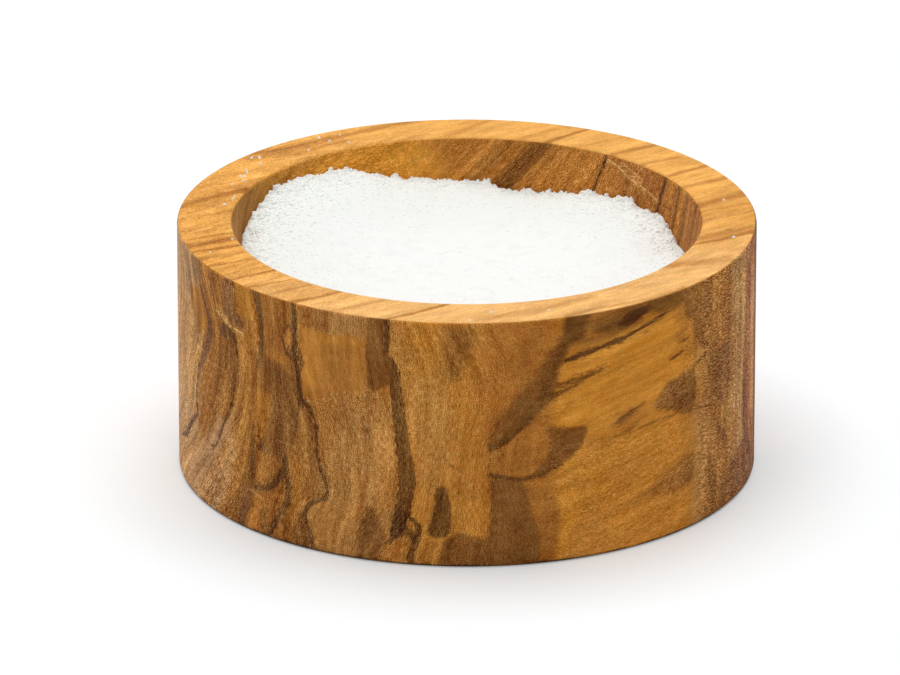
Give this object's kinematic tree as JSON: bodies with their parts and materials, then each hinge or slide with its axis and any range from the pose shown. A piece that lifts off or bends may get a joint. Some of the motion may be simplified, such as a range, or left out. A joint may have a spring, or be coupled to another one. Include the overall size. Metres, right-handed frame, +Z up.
{
  "type": "pinch bowl",
  "caption": "Round straight-sided wooden pinch bowl with a thick flat rim, filled with loose white salt.",
  "frame": {"origin": "centre of the flat underside, which stands on the table", "axes": "+Z up out of the mouth, -Y towards the side that the picture shows; the wood's fibres run level, about 37 degrees from +X towards +Y"},
  "size_m": [0.09, 0.09, 0.04],
  "materials": {
    "olive_wood": "satin",
    "salt": "matte"
  },
  "bodies": {
    "root": {"bowl": "olive_wood", "salt": "salt"}
  },
  "joints": []
}
